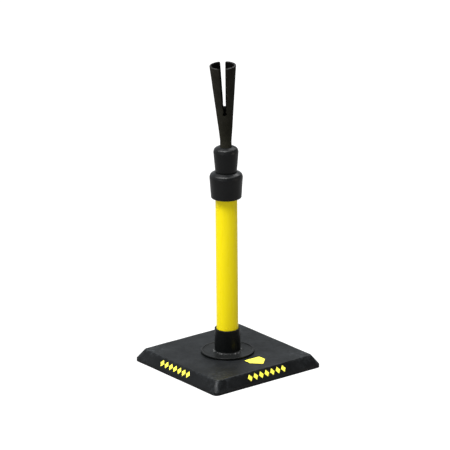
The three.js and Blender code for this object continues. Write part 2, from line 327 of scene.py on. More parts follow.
class Nodes(Tree):
    """A material's node tree, with short names for the nodes that the materials use most."""

    def __init__(self, name):
        self.material = bpy.data.materials.new(name)
        self.material.use_nodes = True
        super().__init__(self.material.node_tree)
        self.shader = self.tree.nodes["Principled BSDF"]
        coordinates = self.tree.nodes.new("ShaderNodeTexCoord")
        self.place = coordinates.outputs["Object"]
        self.facing = coordinates.outputs["Normal"]

    def link(self, output, name):
        self.tree.links.new(output, self.shader.inputs[name])

    def stretched(self, scale):
        return self.add("ShaderNodeMapping", {"Vector": self.place, "Scale": scale}).outputs[0]

    def noise(self, scale, detail=4.0, roughness=0.55, vector=None, offset=0.0):
        where = vector or self.place
        if offset:
            where = self.add("ShaderNodeMapping", {"Vector": where, "Location": (offset,) * 3}).outputs[0]
        settings = {"Vector": where, "Scale": scale, "Detail": detail, "Roughness": roughness}
        return self.add("ShaderNodeTexNoise", settings).outputs["Fac"]

    def ranged(self, value, low, high, to_low=0.0, to_high=1.0):
        settings = {"Value": value, "From Min": low, "From Max": high}
        settings |= {"To Min": to_low, "To Max": to_high}
        return self.add("ShaderNodeMapRange", settings, interpolation_type="SMOOTHSTEP").outputs[0]

    def math(self, operation, first, second=0.0):
        return self.add("ShaderNodeMath", {0: first, 1: second}, operation=operation).outputs[0]

    def product(self, *values):
        result = values[0]
        for value in values[1:]:
            result = self.math("MULTIPLY", result, value)
        return result

    def mix(self, factor, first, second):
        settings = {0: factor, 6: first, 7: second}
        return self.add("ShaderNodeMix", settings, data_type="RGBA").outputs[2]

    def attribute(self, name):
        return self.add("ShaderNodeAttribute", attribute_name=name).outputs["Fac"]

    def dust(self, colour, amount, tone):
        """Fine pale dust that has settled on upward faces, thicker in some places."""
        up = self.add("ShaderNodeSeparateXYZ", {0: self.facing}).outputs[2]
        settled = self.ranged(up, 0.55, 0.97, 0.0, amount)
        patchy = self.ranged(self.noise(22, 6, 0.65), 0.25, 0.75, 0.55, 1.0)
        return self.mix(self.product(settled, patchy), colour, tone)

    def bump(self, height, distance, strength=1.0, normal=None):
        settings = {"Height": height, "Distance": distance, "Strength": strength}
        if normal:
            settings["Normal"] = normal
        return self.add("ShaderNodeBump", settings).outputs[0]


def grey(value, warm=0.0):
    """A grey, a little redder for a positive warm and a little bluer for a negative one."""
    return (value * (1 + warm), value, value * (1 - warm), 1)


def rubber(name, dark, light, roughness, specular, grain, seed, warm, dust, wear=None):
    """Moulded rubber: cloudy colour, fine grain, dull patches and a few pale scuff marks."""
    nodes = Nodes(name)
    cloud = nodes.ranged(nodes.noise(14, 5, 0.6, offset=seed), 0.35, 0.65)
    colour = nodes.mix(cloud, grey(dark, warm), grey(light, warm))
    scratches = nodes.noise(60, 3, 0.7, nodes.stretched((1.0, 6.0, 2.0)), offset=seed * 2)
    where_scuffed = nodes.ranged(nodes.noise(9, 2, offset=seed), 0.45, 0.6)
    scuff = nodes.product(nodes.ranged(scratches, 0.63, 0.75), where_scuffed, 0.5)
    colour = nodes.mix(scuff, colour, grey(light * 2.2, warm))
    if wear:
        colour = nodes.mix(wear(nodes), colour, grey(light * 9.0, warm))
    colour = nodes.dust(colour, dust, grey(0.045, warm))
    nodes.link(colour, "Base Color")
    dull = nodes.noise(35, 4, 0.6, offset=seed * 3)
    nodes.link(nodes.ranged(dull, 0.3, 0.7, roughness - 0.07, roughness + 0.08), "Roughness")
    fine = nodes.noise(grain, 3, 0.6)
    broad = nodes.noise(45, 3, 0.5, offset=seed)
    normal = nodes.bump(broad, 0.0006, 0.35)
    nodes.link(nodes.bump(fine, 0.00006, 0.6, normal), "Normal")
    nodes.shader.inputs["Specular IOR Level"].default_value = specular
    return nodes.material


def base_wear(nodes):
    """A mask for the slab's worn places: top edges, mitred corners and patches near the top's corners."""
    split = nodes.add("ShaderNodeSeparateXYZ", {0: nodes.place})
    x = nodes.math("ABSOLUTE", split.outputs[0])
    y = nodes.math("ABSOLUTE", split.outputs[1])
    reach = nodes.math("MAXIMUM", x, y)
    edge = (BASE_HALF - BASE_BEVEL) * MM
    along = nodes.math("ABSOLUTE", nodes.math("SUBTRACT", reach, edge))
    top = nodes.ranged(along, 0.0, 0.0035, 0.42, 0.0)
    mitre = nodes.ranged(nodes.math("ABSOLUTE", nodes.math("SUBTRACT", x, y)), 0.0, 0.018, 0.85, 0.0)
    corner = nodes.product(mitre, nodes.ranged(reach, edge - 0.004, edge + 0.002))
    broken = nodes.ranged(nodes.noise(100, 5, 0.75), 0.44, 0.62)
    worn = nodes.product(nodes.math("MAXIMUM", top, corner), broken, 0.7)
    nearest = nodes.ranged(nodes.math("MINIMUM", x, y), edge - 0.065, edge - 0.01, 0.0, 0.62)
    on_top = nodes.ranged(reach, edge - 0.001, edge + 0.006, 1.0, 0.3)
    blotches = nodes.ranged(nodes.noise(110, 6, 0.8, offset=2.0), 0.49, 0.60)
    return nodes.math("MAXIMUM", worn, nodes.product(nearest, on_top, blotches))


def root_painted_glints(nodes):
    """A broken ring of painted highlight: pale marks that paint the glints of light on the fillet where the
    socket's barrel meets its flange.
    """
    split = nodes.add("ShaderNodeSeparateXYZ", {0: nodes.place})
    flat = nodes.add("ShaderNodeCombineXYZ", {0: split.outputs[0], 1: split.outputs[1]}).outputs[0]
    radius = nodes.add("ShaderNodeVectorMath", {0: flat}, operation="LENGTH").outputs["Value"]
    ring_radius = (BARREL_FOOT_RADIUS + 2.2) * MM
    away = nodes.math("ABSOLUTE", nodes.math("SUBTRACT", radius, ring_radius))
    ring = nodes.ranged(away, 0.0006, 0.0022, 1.0, 0.0)
    flange_top = (BASE_TOP + 5) * MM
    low = nodes.ranged(split.outputs[2], flange_top + 0.0025, flange_top + 0.0055, 1.0, 0.0)
    broken = nodes.ranged(nodes.noise(190, 3, 0.7), 0.50, 0.62)
    return nodes.product(ring, low, broken)


def plastic(name, colour, second, roughness, specular, seed, streak=None, dust=0.0, painted_glints=None):
    """Smooth moulded or extruded plastic: two close colours, faint streaks and a little dust."""
    nodes = Nodes(name)
    where = nodes.stretched(streak) if streak else None
    cloud = nodes.ranged(nodes.noise(12, 4, 0.6, where, offset=seed), 0.35, 0.65)
    skin = nodes.mix(cloud, (*colour, 1), (*second, 1))
    if dust:
        skin = nodes.dust(skin, dust, grey(0.085))
    if painted_glints:
        # painted highlight: pale glints mixed into the colour round the barrel's root
        skin = nodes.mix(nodes.product(painted_glints(nodes), 0.8), skin, grey(0.14))
    nodes.link(skin, "Base Color")
    rub = nodes.noise(90, 4, 0.65, where, offset=seed * 2)
    nodes.link(nodes.ranged(rub, 0.35, 0.7, roughness, roughness + 0.12), "Roughness")
    peel = nodes.noise(400, 2, 0.5, where)
    nodes.link(nodes.bump(peel, 0.00004, 0.35, nodes.bump(nodes.noise(30, 2), 0.0003, 0.2)), "Normal")
    nodes.shader.inputs["Specular IOR Level"].default_value = specular
    return nodes.material


def zinc(name):
    """Zinc-plated steel: brushed, slightly blotched metal."""
    nodes = Nodes(name)
    blotch = nodes.ranged(nodes.noise(80, 5, 0.6), 0.35, 0.65)
    nodes.link(nodes.mix(blotch, (0.42, 0.43, 0.44, 1), (0.60, 0.61, 0.60, 1)), "Base Color")
    brushed = nodes.noise(300, 3, 0.6, nodes.stretched((1.0, 18.0, 18.0)))
    nodes.link(nodes.ranged(brushed, 0.3, 0.7, 0.28, 0.45), "Roughness")
    nodes.link(nodes.bump(brushed, 0.00003, 0.5), "Normal")
    nodes.shader.inputs["Metallic"].default_value = 1.0
    return nodes.material


def print_paint(name):
    """Yellow marking paint on rubber, rubbed thin in places."""
    nodes = Nodes(name)
    rubbed = nodes.product(nodes.ranged(nodes.noise(260, 4, 0.7, offset=1.0), 0.56, 0.68), 0.75)
    fresh = nodes.mix(nodes.noise(40, 3), (0.90, 0.80, 0.05, 1), (0.95, 0.86, 0.10, 1))
    nodes.link(nodes.mix(rubbed, fresh, (0.25, 0.22, 0.04, 1)), "Base Color")
    nodes.link(nodes.ranged(nodes.noise(120, 3), 0.3, 0.7, 0.45, 0.62), "Roughness")
    nodes.link(nodes.bump(nodes.noise(900, 3), 0.00006, 0.6), "Normal")
    nodes.shader.inputs["Specular IOR Level"].default_value = 0.3
    return nodes.material


def rest_rubber(name):
    """The ball rest's rubber: dull and brownish, blacker towards the rim, with painted shade that turns its
    inner surfaces near black, and a rubbed rim whose pale band also paints the rim's highlight.
    """
    nodes = Nodes(name)
    cloud = nodes.ranged(nodes.noise(30, 5, 0.6), 0.35, 0.65)
    low = nodes.mix(cloud, (0.0135, 0.0128, 0.0090, 1), (0.0190, 0.0182, 0.0130, 1))
    high = nodes.mix(cloud, (0.0090, 0.0080, 0.0062, 1), (0.0135, 0.0122, 0.0098, 1))
    colour = nodes.mix(nodes.attribute("height"), low, high)
    scuff = nodes.ranged(nodes.noise(160, 4, 0.75, nodes.stretched((1.0, 1.0, 0.25))), 0.60, 0.76)
    colour = nodes.mix(nodes.product(scuff, 0.35), colour, grey(0.05, 0.05))
    # painted shade: the hollow's walls and the slot faces are painted near black, as if in shade
    colour = nodes.mix(nodes.attribute("painted_inner_shade"), colour, (0.0012, 0.0011, 0.0010, 1))
    # The rim's pale band is rubbed rubber and also a painted highlight along the rim's top.
    rubbed = nodes.product(nodes.attribute("rim"), nodes.ranged(nodes.noise(120, 3, 0.7), 0.35, 0.60), 0.45)
    nodes.link(nodes.mix(rubbed, colour, grey(0.10)), "Base Color")
    nodes.link(nodes.ranged(nodes.noise(50, 4), 0.3, 0.7, 0.62, 0.80), "Roughness")
    nodes.shader.inputs["Diffuse Roughness"].default_value = 1.0
    fine = nodes.noise(1100, 3, 0.6)
    nodes.link(nodes.bump(fine, 0.00007, 0.6, nodes.bump(nodes.noise(60, 3), 0.0005, 0.4)), "Normal")
    nodes.shader.inputs["Specular IOR Level"].default_value = 0.03
    return nodes.material


BASE_RUBBER = rubber(
    "base_rubber", 0.0032, 0.0055, 0.42, 0.14, 900, seed=1.0, warm=-0.10, dust=0.12, wear=base_wear,
)
COLLAR_RUBBER = rubber("collar_rubber", 0.0028, 0.0044, 0.34, 0.19, 1100, seed=2.0, warm=-0.06, dust=0.1)
REST_RUBBER = rest_rubber("rest_rubber")
# The hub's pale ring round the barrel's root is painted highlight.
HUB_PLASTIC = plastic(
    "hub_plastic", (0.0022, 0.0027, 0.0027), (0.0035, 0.0041, 0.0041), 0.30, 0.10, seed=3.0,
    dust=0.1, painted_glints=root_painted_glints,
)
YELLOW_TUBE = plastic(
    "yellow_tube", (0.82, 0.665, 0.0045), (0.79, 0.63, 0.0035), 0.22, 0.12, seed=4.0, streak=EXTRUDED,
)
BLACK_TUBE = plastic(
    "black_tube", (0.0035, 0.0035, 0.004), (0.0055, 0.0055, 0.006), 0.24, 0.14, seed=5.0, streak=EXTRUDED,
)
BEARING_PLASTIC = plastic(
    "bearing_plastic", (0.66, 0.64, 0.57), (0.72, 0.70, 0.64), 0.40, 0.5, seed=6.0,
)
ZINC_STEEL = zinc("zinc_steel")
PAINT = print_paint("marking_paint")


# ---------- base ----------
def square_ring(half, corner):
    """Points round a rounded square, anticlockwise from the -Y end of its +X side."""
    per_side, per_corner = 36, 8
    points = []
    inner = half - corner
    for quarter in range(4):
        spin = Matrix.Rotation(quarter * math.pi / 2, 2)
        side = [Vector((half, -inner + 2 * inner * k / per_side)) for k in range(per_side)]
        arc = []
        for k in range(per_corner):
            angle = math.pi / 2 * k / per_corner
            arc.append(Vector((inner + corner * math.cos(angle), inner + corner * math.sin(angle))))
        points += [spin @ p for p in side + arc]
    return points


def slab_rings():
    """The slab's skin from the recess in its underside out, up its side and in over its top.

    Each ring is (half width, corner radius, height, roundness): at roundness 1 it is a circle.
    """
    top_half = BASE_HALF - BASE_BEVEL
    side = filleted([
        (BASE_HALF - 60, -10), (BASE_HALF - 2.5, 0), (BASE_HALF, 0, 1.2),
        (BASE_HALF, BASE_LIP, 2.0), (top_half, BASE_TOP, 3.2), (top_half - 60, BASE_TOP),
    ], 5)[1:-1]  # the end points only set the direction of the rounding next to them
    rings = []
    for roundness, half in ((1.0, RECESS_RADIUS), (0.85, 72), (0.5, 90), (0.2, 110), (0.0, 124)):
        rings.append((half, 6, 0.0, roundness))
    for groove in (128, 138):
        for step, height in ((0, 0.0), (1, TREAD_DEPTH), (3, TREAD_DEPTH), (4, 0.0)):
            rings.append((groove + step, 9, height, 0.0))
    for point in side:
        share = min(1, max(0, (point.y - BASE_LIP) / (BASE_TOP - BASE_LIP)))
        rings.append((point.x, FOOT_CORNER + (TOP_CORNER - FOOT_CORNER) * share, point.y, 0.0))
    for half in range(int(top_half) - 8, 64, -7):
        rings.append((half, TOP_CORNER, BASE_TOP, min(1, max(0, (118 - half) / 50))))
    for radius in (61, 58, 45, 30, 15):
        rings.append((radius, TOP_CORNER, BASE_TOP, 1.0))
    return rings


def slab_point(point, height):
    """A point of the slab's skin, with the slight unevenness of moulded rubber."""
    x, y = point
    z = height
    if height > BASE_LIP:
        z += uneven((x, y, 0), 60, 0.5, 3) * min(1, (height - BASE_LIP) / 10)
    side = uneven((x, y, height), 45, 0.5, 4) if math.hypot(x, y) > 100 else 0.0
    return x * (1 + side / 150), y * (1 + side / 150), z


def base_mat():
    """The rubber slab, with a tread and a recess underneath and holes for the socket's bosses."""
    bm = bmesh.new()
    rings = []
    for third in (1, 2, 3):
        radius = RECESS_RADIUS * third / 3
        # a rounded square pushed out to a circle has as many points as the rings outside it
        circle = [p.normalized() * radius for p in square_ring(radius, radius / 10)]
        rings.append([bm.verts.new(slab_point(p, RECESS_DEPTH)) for p in circle])
    for half, corner, height, roundness in slab_rings():
        ring = [p.lerp(p.normalized() * half, roundness) for p in square_ring(half, corner)]
        rings.append([bm.verts.new(slab_point(p, height)) for p in ring])
    bridge(bm, rings)
    bm.faces.new(rings[0])
    bm.faces.new(rings[-1])
    holes = [moved(peg(BOSS_RADIUS + GAP, 5, BASE_TOP + 4, 48), x, y) for _, x, y in screw_places()]
    obj = finished("rubber_base", cut(bm, holes), BASE_RUBBER, 40)
    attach(obj, "base")
    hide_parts("base_mat")


def backing_plate():
    """The steel disc in the slab's recess."""
    outline = filleted([
        (0, PLATE_BOTTOM), (PLATE_RADIUS, PLATE_BOTTOM, 0.4),
        (PLATE_RADIUS, PLATE_TOP, 0.4), (0, PLATE_TOP),
    ], 3)
    holes = [moved(peg(3.3, 0, 12, 32), x, y) for _, x, y in screw_places()]
    bm = cut(turned(subdivided(outline, 12), 128), holes)
    obj = finished("steel_backing_plate", bm, ZINC_STEEL)
    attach(obj, "base")
    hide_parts("backing_plate")


def thread_rows(shank, length, pitch, sides):
    """Rows of (radius, height) round a screw's threaded shank, from its head to its point."""
    rows = []
    steps_per_turn = 8
    total = int((length - 1.5) / pitch * steps_per_turn)
    for i in range(1, total + 1):
        height = 1.0 + i * pitch / steps_per_turn
        taper = min(1.0, (length - height) / (2.5 * shank) + 0.35)
        row = []
        for k in range(sides):
            phase = (height / pitch - k / sides) % 1.0
            crest = max(0.0, 1 - abs(phase - 0.5) * 3.2)
            row.append(((shank * 0.84 + shank * 0.22 * crest) * taper, height))
        rows.append(row)
    return rows


def screw_shape(shank, length, head, head_height, pitch):
    """A pan-head screw along +Z, with the underside of its head at the origin."""
    sides = 40
    crown = filleted([
        (0, -head_height), (head * 0.72, -head_height, head_height * 0.8),
        (head, -head_height * 0.35, 0.5), (head, 0, 0.2), (shank * 1.06, 0),
    ], 6)
    rows = [[tuple(crown[0])]]
    rows += [[tuple(point)] * sides for point in crown[1:]]
    rows += thread_rows(shank, length, pitch, sides)
    rows.append([(0, length)])
    bm = bmesh.new()
    rings = []
    for row in rows:
        ring = []
        for k, (radius, height) in enumerate(row):
            angle = 2 * math.pi * k / len(row)
            ring.append(bm.verts.new((radius * math.cos(angle), radius * math.sin(angle), height)))
        rings.append(ring)
    bridge(bm, rings)
    return cut(bm, [recess_blade(head, head_height, angle) for angle in (0, math.pi / 2)])


def recess_blade(head, head_height, angle):
    """One blade of a cross recess: a flat wedge that narrows as it goes in."""
    bm = bmesh.new()
    wide, narrow, thick = head * 0.58, head * 0.3, head * 0.1
    rings = []
    for height, reach in ((-head_height - 1, wide), (-head_height + head_height * 0.62, narrow)):
        flat = ((-reach, -thick), (reach, -thick), (reach, thick), (-reach, thick))
        rings.append([bm.verts.new((x, y, height)) for x, y in flat])
    bridge(bm, rings)
    bm.faces.new(rings[0])
    bm.faces.new(rings[1])
    return moved(bm, matrix=Matrix.Rotation(angle, 4, "Z"))


def screws():
    """Four screws up through the plate into the socket's bosses, and one through the socket's back."""
    for number, x, y in screw_places():
        spin = Matrix.Rotation(0.7 * number, 4, "Z")
        bm = moved(screw_shape(2.7, 20, 5.5, 3, 1.4), x, y, PLATE_BOTTOM - GAP, spin)
        obj = finished(f"flange_screw_detail_{number}", bm, ZINC_STEEL, 40)
        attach(obj, "base")
        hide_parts(f"flange_screw_{number}")
    tip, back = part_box("tube_screw")
    head_height = 2.6
    seat = back.y / MM - head_height
    length = seat - tip.y / MM
    into = Matrix.Rotation(math.pi / 2, 4, "X")
    bm = moved(screw_shape(2.0, length, 4.2, head_height, 1.3), 0, seat, TUBE_SCREW_HEIGHT, into)
    obj = finished("tube_screw_detail", bm, ZINC_STEEL, 40)
    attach(obj, "base")
    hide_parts("tube_screw")


def side_hole(radius, start, end, height):
    """A round cutter along +Y."""
    bm = peg(radius, start, end, 40)
    return moved(bm, z=height, matrix=Matrix.Rotation(-math.pi / 2, 4, "X"))


def base_socket():
    """The moulded socket: a flange with a raised rim, bosses below it and a barrel above."""
    bottom = BASE_TOP + GAP
    web, edge = bottom + 3.4, bottom + 4.9
    bore = TUBE_RADIUS + GAP
    outline = filleted([
        (0, bottom), (FLANGE_RADIUS, bottom, 0.5), (FLANGE_RADIUS, edge, 1.4),
        (FLANGE_RADIUS - 3.4, edge, 1.2), (FLANGE_RADIUS - 5.2, web, 2.0),
        (33.6, web, 1.2), (32.6, web + 1.5, 1.0), (BARREL_FOOT_RADIUS, web + 2.0, 2.4),
        (BARREL_TOP_RADIUS, SOCKET_TOP, 1.0), (bore, SOCKET_TOP, 1.0),
        (bore, bottom + 6), (0, bottom + 6),
    ], 6)

    def ripple(x, y, z):
        """Roughens the flange, most of all round the barrel's root."""
        radius = math.hypot(x, y)
        if radius < 26 or z > web + 9:
            return x, y, z
        near = max(0.0, 1 - abs(radius - 32.5) / 4.5)
        lift = near * (uneven((x, y, z), 5, 0.5, 11) + uneven((x, y, z), 2.2, 0.25, 12))
        lift += uneven((x, y, z), 30, 0.25, 13) * (1 if z > bottom + 1 else 0)
        return x, y, z + lift

    bm = turned(subdivided(outline, 2.2), 224, ripple)
    bosses = [moved(peg(BOSS_RADIUS, 8, bottom + 1.5, 48), x, y) for _, x, y in screw_places()]
    bm = joined(bm, bosses)
    holes = [moved(peg(3.0, 5, 26, 32), x, y) for _, x, y in screw_places()]
    holes.append(side_hole(TUBE_SCREW_HOLE, 20, 40, TUBE_SCREW_HEIGHT))
    obj = finished("moulded_socket", cut(bm, holes), HUB_PLASTIC, 38)
    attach(obj, "base")
    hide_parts("base_socket")


# ---------- lower post ----------
def lower_tube():
    """The yellow outer tube."""
    bore = TUBE_RADIUS - TUBE_WALL
    outline = filleted([
        (bore, TUBE_BOTTOM, 0.4), (TUBE_RADIUS, TUBE_BOTTOM, 0.6),
        (TUBE_RADIUS, TUBE_TOP, 0.6), (bore, TUBE_TOP, 0.4),
    ], 4)
    bm = turned(subdivided(outline, 6), 192)
    hole = side_hole(TUBE_SCREW_HOLE, 15, 30, TUBE_SCREW_HEIGHT)
    obj = finished("yellow_lower_tube", cut(bm, [hole]), YELLOW_TUBE)
    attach(obj, "base")
    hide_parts("lower_tube")


def outer_collar():
    """The big collar: its bore fits the yellow tube, and its lip closes on the inner tube."""
    bore = TUBE_RADIUS + GAP
    lip = INNER_RADIUS + GAP
    outline = filleted([
        (bore, COLLAR_BOTTOM, 0.8), (COLLAR_RADIUS - 3.4, COLLAR_BOTTOM, 2.2),
        (COLLAR_RADIUS, COLLAR_TOP - 11.5, 3.0), (COLLAR_RADIUS - 1.9, COLLAR_TOP - 4.6, 9.0),
        (COLLAR_RADIUS - 11.5, COLLAR_TOP, 7.0), (lip, COLLAR_TOP, 0.8),
        (lip, BUSH_TOP + GAP), (bore, BUSH_TOP + GAP),
    ], 7)
    bm = turned(subdivided(outline, 2.5), 192, moulded(21, 0.18, 0.10, TURN + 1.1))
    obj = finished("grip_collar", bm, COLLAR_RUBBER)
    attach(obj, "base")
    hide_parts("outer_collar")


def guide_bush():
    """The bush in the yellow tube's mouth, with six slits up from its lower end."""
    outer, inner = TUBE_RADIUS - TUBE_WALL - GAP, INNER_RADIUS + GAP
    outline = filleted([
        (inner, BUSH_BOTTOM, 0.8), (outer, BUSH_BOTTOM, 0.6), (outer, TUBE_TOP + GAP, 0.2),
        (TUBE_RADIUS, TUBE_TOP + GAP, 0.3), (TUBE_RADIUS, BUSH_TOP, 0.5), (inner, BUSH_TOP, 0.6),
    ], 4)
    bm = turned(subdivided(outline, 4), 128)
    stretch = Matrix.Diagonal((1, 9, 1, 1))
    quarter = Matrix.Rotation(math.pi / 2, 4, "Z")
    slits = []
    for k in range(6):
        turn = Matrix.Rotation(k * math.pi / 3, 4, "Z") @ Matrix.Rotation(math.pi / 2, 4, "Y")
        slits.append(moved(peg(0.8, 10, 30, 12), z=BUSH_BOTTOM, matrix=turn @ quarter @ stretch))
    obj = finished("guide_bush_detail", cut(bm, slits), BEARING_PLASTIC)
    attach(obj, "base")
    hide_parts("guide_bush")


# ---------- upper post ----------
def inner_tube():
    """The black inner tube, with a groove for its foot ring and a hole for its pin."""
    bore = INNER_RADIUS - INNER_WALL
    outline = filleted([
        (bore, INNER_BOTTOM, 0.4), (INNER_RADIUS, INNER_BOTTOM, 0.5),
        (INNER_RADIUS, RING_BOTTOM - GAP, 0.1), (GROOVE_RADIUS, RING_BOTTOM - GAP, 0.2),
        (GROOVE_RADIUS, RING_TOP + GAP, 0.2), (INNER_RADIUS, RING_TOP + GAP, 0.1),
        (INNER_RADIUS, INNER_TOP, 0.5), (bore, INNER_TOP, 0.4),
    ], 4)
    hole = side_hole(PIN_HOLE, -30, 30, PIN_HEIGHT)
    bm = cut(turned(subdivided(outline, 6), 160), [hole])
    bm = moved(bm, matrix=Matrix.Rotation(TURN, 4, "Z"))
    obj = finished("inner_tube_detail", bm, BLACK_TUBE)
    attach(obj, "extension")
    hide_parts("inner_tube")


def foot_ring():
    """The ring in the inner tube's groove, split at a slant so that it can be sprung on."""
    outer, inner = TUBE_RADIUS - TUBE_WALL - GAP, GROOVE_RADIUS + GAP
    outline = filleted([
        (inner, RING_BOTTOM, 0.5), (outer, RING_BOTTOM, 0.9),
        (outer, RING_TOP, 0.9), (inner, RING_TOP, 0.5),
    ], 4)
    slanted = Matrix.Rotation(math.radians(20), 4, "Y") @ Matrix.Diagonal((1.5, 12, 20, 1))
    split = box_cutter(slanted, y=outer + 4, z=(RING_BOTTOM + RING_TOP) / 2)
    bm = cut(turned(subdivided(outline, 3), 128), [split])
    bm = moved(bm, matrix=Matrix.Rotation(TURN, 4, "Z"))
    obj = finished("foot_ring_detail", bm, BEARING_PLASTIC)
    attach(obj, "slider")
    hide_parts("foot_ring")


def rest_plug():
    """The plug in the inner tube's top: a fluted body, a flange and a spigot for the ball rest."""
    body = INNER_RADIUS - INNER_WALL - GAP
    flange = INNER_TOP + GAP
    outline = filleted([
        (0, PLUG_BOTTOM), (body - 1, PLUG_BOTTOM, 0.5), (body, PLUG_BOTTOM + 1.2, 0.5),
        (body, flange, 0.2), (INNER_RADIUS, flange, 0.3), (INNER_RADIUS, flange + 3, 0.5),
        (SPIGOT_RADIUS, flange + 3, 1.2), (SPIGOT_RADIUS, PLUG_TOP - 2, 0.5),
        (SPIGOT_RADIUS - 2, PLUG_TOP, 0.8), (0, PLUG_TOP),
    ], 4)

    def fluted(x, y, z):
        """Twelve shallow flutes down the plug's body."""
        radius = math.hypot(x, y)
        if z > flange - 2 or z < PLUG_BOTTOM + 3 or radius < body - 0.3:
            return x, y, z
        depth = 0.7 * max(0.0, math.cos(12 * math.atan2(y, x))) ** 4
        return x * (1 - depth / radius), y * (1 - depth / radius), z

    hole = side_hole(PIN_HOLE, -30, 30, PIN_HEIGHT)
    bm = cut(turned(subdivided(outline, 3), 144, fluted), [hole])
    bm = moved(bm, matrix=Matrix.Rotation(TURN, 4, "Z"))
    obj = finished("rest_plug_detail", bm, BEARING_PLASTIC)
    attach(obj, "extension")
    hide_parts("rest_plug")


def plug_pin():
    """A rolled spring pin, open along one side."""
    reach = INNER_RADIUS - GAP
    outer, inner = 2.5, 1.6
    outline = filleted([
        (inner, -reach, 0.2), (outer, -reach, 0.5), (outer, reach, 0.5), (inner, reach, 0.2),
    ], 3)
    slit = box_cutter(Matrix.Diagonal((0.3, 2, 40, 1)), y=outer)
    bm = cut(turned(subdivided(outline, 5), 48), [slit])
    across = Matrix.Rotation(TURN, 4, "Z") @ Matrix.Rotation(-math.pi / 2, 4, "X")
    bm = moved(bm, z=PIN_HEIGHT, matrix=across)
    obj = finished("plug_pin_detail", bm, ZINC_STEEL)
    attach(obj, "extension")
    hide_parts("plug_pin")


def head_collar():
    """The small collar over the joint between the inner tube and the ball rest."""
    bore, neck = INNER_RADIUS + GAP, NECK_RADIUS + GAP
    shelf = HEAD_TOP - 5
    outline = filleted([
        (bore, HEAD_BOTTOM, 0.8), (HEAD_RADIUS - 4.1, HEAD_BOTTOM, 1.6),
        (HEAD_RADIUS, HEAD_TOP - 12, 3.0), (HEAD_RADIUS - 1.7, HEAD_TOP - 4.4, 8.0),
        (HEAD_RADIUS - 10.6, HEAD_TOP, 6.5), (neck, HEAD_TOP, 0.7), (neck, shelf), (bore, shelf),
    ], 7)
    bm = turned(subdivided(outline, 2.5), 176, moulded(31, 0.15, 0.10, TURN + 0.9))
    obj = finished("head_collar_detail", bm, COLLAR_RUBBER)
    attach(obj, "extension")
    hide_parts("head_collar")


# ---------- ball rest ----------
CAVITY_FLOOR, CAVITY_FLOOR_RADIUS = 615.0, 10.0
RIM_WALL = 4.0
RELIEF_HEIGHT, RELIEF_RADIUS = 603.5, 4.4
SLOT_CORE = 8.8
LEAN_LEFT, LEAN_FORWARD = math.radians(1.9), math.radians(2.4)
BEND_START, BEND_END = 522.0, 575.0


def outer_radius(height):
    """The ball rest's outside radius above its foot."""
    slope = (RIM_RADIUS - NECK_RADIUS) / (RIM - CONE_START)
    return NECK_RADIUS + slope * max(0.0, height - CONE_START)


def cavity_radius(height):
    """The radius of the cone's hollow."""
    share = (height - CAVITY_FLOOR) / (RIM - CAVITY_FLOOR)
    return CAVITY_FLOOR_RADIUS + (RIM_RADIUS - RIM_WALL - CAVITY_FLOOR_RADIUS) * share


def slot_outline():
    """One slot seen square on, as (x, height) points: a round relief hole, a narrow neck and a V."""
    right = []
    for k in range(13):
        angle = math.radians(-90 + 144 * k / 12)
        right.append((RELIEF_RADIUS * math.cos(angle), RELIEF_HEIGHT + RELIEF_RADIUS * math.sin(angle)))
    right += [(2.6, 608.6), (2.6, 611.0), (2.9, 613.4), (3.5, 616.0), (4.0, 619.0), (4.25, 623.0)]
    v_foot = 630
    for k in range(13):
        height = v_foot + (RIM - 3 - v_foot) * k / 12
        right.append((4.45 + 2.85 * (height - v_foot) / (RIM - v_foot), height))
    right += [(7.5, RIM - 1.6), (8.0, RIM - 0.6), (9.0, RIM + 0.3), (12.0, RIM + 8.0), (6.0, RIM + 8.0)]
    left = [(-x, height) for x, height in reversed(right)]
    return [Vector(p) for p in right + [(0.0, RIM + 8.0)] + left[:-1]]


def slot_cutter(side):
    """A closed cutter through the wall: the slot is wider at the outer skin than at the inner one."""
    outline = slot_outline()
    count = len(outline)
    bm = bmesh.new()
    layers = []
    shares = ((-0.12, -1.0), (0.0, -1.0), (0.12, -0.9), (0.88, 0.9), (1.0, 1.2), (2.6, 1.9))
    for share, spread in shares:
        ring = []
        for k, point in enumerate(outline):
            along = (outline[(k + 1) % count] - outline[k - 1]).normalized()
            outward = Vector((along.y, -along.x))
            flare = 0.7 + 1.0 * min(1.0, max(0.0, point.y - 613) / 15)
            spot = point + outward * flare * spread
            inner = max(SLOT_CORE + 0.6, cavity_radius(spot.y))
            radius = inner + (outer_radius(spot.y) - inner) * share
            ring.append(bm.verts.new((spot.x * side, -math.sqrt(radius**2 - spot.x**2) * side, spot.y)))
        layers.append(ring)
    bridge(bm, layers)
    bm.faces.new(layers[0])
    bm.faces.new(layers[-1])
    bmesh.ops.triangulate(bm, faces=bm.faces)
    return bm


def leaning(x, y, z):
    """Bends the ball rest slightly at its neck, as flexible rubber sets with use."""
    direction = Vector((-math.tan(LEAN_LEFT), -math.tan(LEAN_FORWARD), 0))
    full = math.atan(direction.length)
    direction.normalize()
    if z <= BEND_START:
        return x, y, z
    share = min(1.0, (z - BEND_START) / (BEND_END - BEND_START))
    angle = full * share
    arc_radius = (BEND_END - BEND_START) / full
    centre = direction * arc_radius * (1 - math.cos(angle))
    height = BEND_START + arc_radius * math.sin(angle)
    beyond = max(0.0, z - BEND_END)
    up = direction * math.sin(angle) + Vector((0, 0, math.cos(angle)))
    axis = Vector((0, 0, 1)).cross(direction)
    flat = Matrix.Rotation(angle, 3, axis) @ Vector((x, y, 0))
    return centre + Vector((0, 0, height)) + up * beyond + flat


